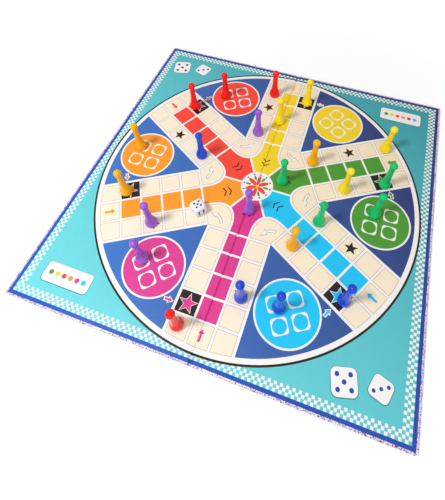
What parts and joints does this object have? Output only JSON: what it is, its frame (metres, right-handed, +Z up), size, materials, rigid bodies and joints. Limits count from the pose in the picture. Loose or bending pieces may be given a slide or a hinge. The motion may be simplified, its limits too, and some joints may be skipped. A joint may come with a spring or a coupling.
{
  "type": "ludo board game",
  "caption": "Folding board of a race game for six players, lying open with its pawns and die standing on it.",
  "frame": {"origin": "under the middle of the open board, in the plane of its back", "axes": "+X across the fold from the left half to the right half, +Y along the fold, +Z up out of the playing side"},
  "size_m": [0.4044, 0.3994, 0.0483],
  "materials": {
    "greyboard": "bare grey cardboard",
    "cover_paper": "film-laminated paper, white with lilac flecks",
    "printed_paper": "glossy film-laminated colour print",
    "red_plastic": "glossy moulded",
    "yellow_plastic": "glossy moulded",
    "green_plastic": "glossy moulded",
    "blue_plastic": "glossy moulded",
    "purple_plastic": "glossy moulded",
    "orange_plastic": "glossy moulded",
    "white_plastic": "glossy moulded, dark pips"
  },
  "bodies": {
    "left_half": {"left_board_core": "greyboard", "left_cover_wrap": "cover_paper", "left_face_sheet": "printed_paper", "crease_face_strip": "printed_paper", "crease_cover_strip": "cover_paper"},
    "right_half": {"right_board_core": "greyboard", "right_cover_wrap": "cover_paper", "right_face_sheet": "printed_paper"},
    "red_pawn_1": {"red_pawn_1": "red_plastic"},
    "red_pawn_2": {"red_pawn_2": "red_plastic"},
    "red_pawn_3": {"red_pawn_3": "red_plastic"},
    "yellow_pawn_1": {"yellow_pawn_1": "yellow_plastic"},
    "yellow_pawn_2": {"yellow_pawn_2": "yellow_plastic"},
    "yellow_pawn_3": {"yellow_pawn_3": "yellow_plastic"},
    "yellow_pawn_4": {"yellow_pawn_4": "yellow_plastic"},
    "green_pawn_1": {"green_pawn_1": "green_plastic"},
    "green_pawn_2": {"green_pawn_2": "green_plastic"},
    "green_pawn_3": {"green_pawn_3": "green_plastic"},
    "blue_pawn_1": {"blue_pawn_1": "blue_plastic"},
    "blue_pawn_2": {"blue_pawn_2": "blue_plastic"},
    "blue_pawn_3": {"blue_pawn_3": "blue_plastic"},
    "purple_pawn_1": {"purple_pawn_1": "purple_plastic"},
    "purple_pawn_2": {"purple_pawn_2": "purple_plastic"},
    "purple_pawn_3": {"purple_pawn_3": "purple_plastic"},
    "orange_pawn_1": {"orange_pawn_1": "orange_plastic"},
    "orange_pawn_2": {"orange_pawn_2": "orange_plastic"},
    "orange_pawn_3": {"orange_pawn_3": "orange_plastic"},
    "red_pawn_4": {"red_pawn_4": "red_plastic"},
    "green_pawn_4": {"green_pawn_4": "green_plastic"},
    "blue_pawn_4": {"blue_pawn_4": "blue_plastic"},
    "purple_pawn_4": {"purple_pawn_4": "purple_plastic"},
    "orange_pawn_4": {"orange_pawn_4": "orange_plastic"},
    "die": {"die": "white_plastic"}
  },
  "joints": [
    {"name": "fold", "type": "hinge", "parent": "left_half", "child": "right_half", "pos_m": [0, 0, -0.0003], "axis": [0, -1, 0], "range_deg": [-180, 0], "deforming": ["crease_face_strip", "crease_cover_strip"]},
    {"name": "red_pawn_1_lift", "type": "slide", "parent": "left_half", "child": "red_pawn_1", "axis": [0, 0, 1], "range_m": [0, 0.05]},
    {"name": "red_pawn_2_lift", "type": "slide", "parent": "left_half", "child": "red_pawn_2", "axis": [0, 0, 1], "range_m": [0, 0.05]},
    {"name": "red_pawn_3_lift", "type": "slide", "parent": "left_half", "child": "red_pawn_3", "axis": [0, 0, 1], "range_m": [0, 0.05]},
    {"name": "yellow_pawn_1_lift", "type": "slide", "parent": "right_half", "child": "yellow_pawn_1", "axis": [0, 0, 1], "range_m": [0, 0.05]},
    {"name": "yellow_pawn_2_lift", "type": "slide", "parent": "left_half", "child": "yellow_pawn_2", "axis": [0, 0, 1], "range_m": [0, 0.05]},
    {"name": "yellow_pawn_3_lift", "type": "slide", "parent": "right_half", "child": "yellow_pawn_3", "axis": [0, 0, 1], "range_m": [0, 0.05]},
    {"name": "yellow_pawn_4_lift", "type": "slide", "parent": "right_half", "child": "yellow_pawn_4", "axis": [0, 0, 1], "range_m": [0, 0.05]},
    {"name": "green_pawn_1_lift", "type": "slide", "parent": "right_half", "child": "green_pawn_1", "axis": [0, 0, 1], "range_m": [0, 0.05]},
    {"name": "green_pawn_2_lift", "type": "slide", "parent": "right_half", "child": "green_pawn_2", "axis": [0, 0, 1], "range_m": [0, 0.05]},
    {"name": "green_pawn_3_lift", "type": "slide", "parent": "right_half", "child": "green_pawn_3", "axis": [0, 0, 1], "range_m": [0, 0.05]},
    {"name": "blue_pawn_1_lift", "type": "slide", "parent": "left_half", "child": "blue_pawn_1", "axis": [0, 0, 1], "range_m": [0, 0.05]},
    {"name": "blue_pawn_2_lift", "type": "slide", "parent": "right_half", "child": "blue_pawn_2", "axis": [0, 0, 1], "range_m": [0, 0.05]},
    {"name": "blue_pawn_3_lift", "type": "slide", "parent": "right_half", "child": "blue_pawn_3", "axis": [0, 0, 1], "range_m": [0, 0.05]},
    {"name": "purple_pawn_1_lift", "type": "slide", "parent": "left_half", "child": "purple_pawn_1", "axis": [0, 0, 1], "range_m": [0, 0.05]},
    {"name": "purple_pawn_2_lift", "type": "slide", "parent": "right_half", "child": "purple_pawn_2", "axis": [0, 0, 1], "range_m": [0, 0.05]},
    {"name": "purple_pawn_3_lift", "type": "slide", "parent": "left_half", "child": "purple_pawn_3", "axis": [0, 0, 1], "range_m": [0, 0.05]},
    {"name": "orange_pawn_1_lift", "type": "slide", "parent": "left_half", "child": "orange_pawn_1", "axis": [0, 0, 1], "range_m": [0, 0.05]},
    {"name": "orange_pawn_2_lift", "type": "slide", "parent": "right_half", "child": "orange_pawn_2", "axis": [0, 0, 1], "range_m": [0, 0.05]},
    {"name": "orange_pawn_3_lift", "type": "slide", "parent": "right_half", "child": "orange_pawn_3", "axis": [0, 0, 1], "range_m": [0, 0.05]},
    {"name": "red_pawn_4_lift", "type": "slide", "parent": "left_half", "child": "red_pawn_4", "axis": [0, 0, 1], "range_m": [0, 0.05]},
    {"name": "green_pawn_4_lift", "type": "slide", "parent": "right_half", "child": "green_pawn_4", "axis": [0, 0, 1], "range_m": [0, 0.05]},
    {"name": "blue_pawn_4_lift", "type": "slide", "parent": "right_half", "child": "blue_pawn_4", "axis": [0, 0, 1], "range_m": [0, 0.05]},
    {"name": "purple_pawn_4_lift", "type": "slide", "parent": "left_half", "child": "purple_pawn_4", "axis": [0, 0, 1], "range_m": [0, 0.05]},
    {"name": "orange_pawn_4_lift", "type": "slide", "parent": "left_half", "child": "orange_pawn_4", "axis": [0, 0, 1], "range_m": [0, 0.05]},
    {"name": "die_lift", "type": "slide", "parent": "left_half", "child": "die", "axis": [0, 0, 1], "range_m": [0, 0.05]}
  ]
}
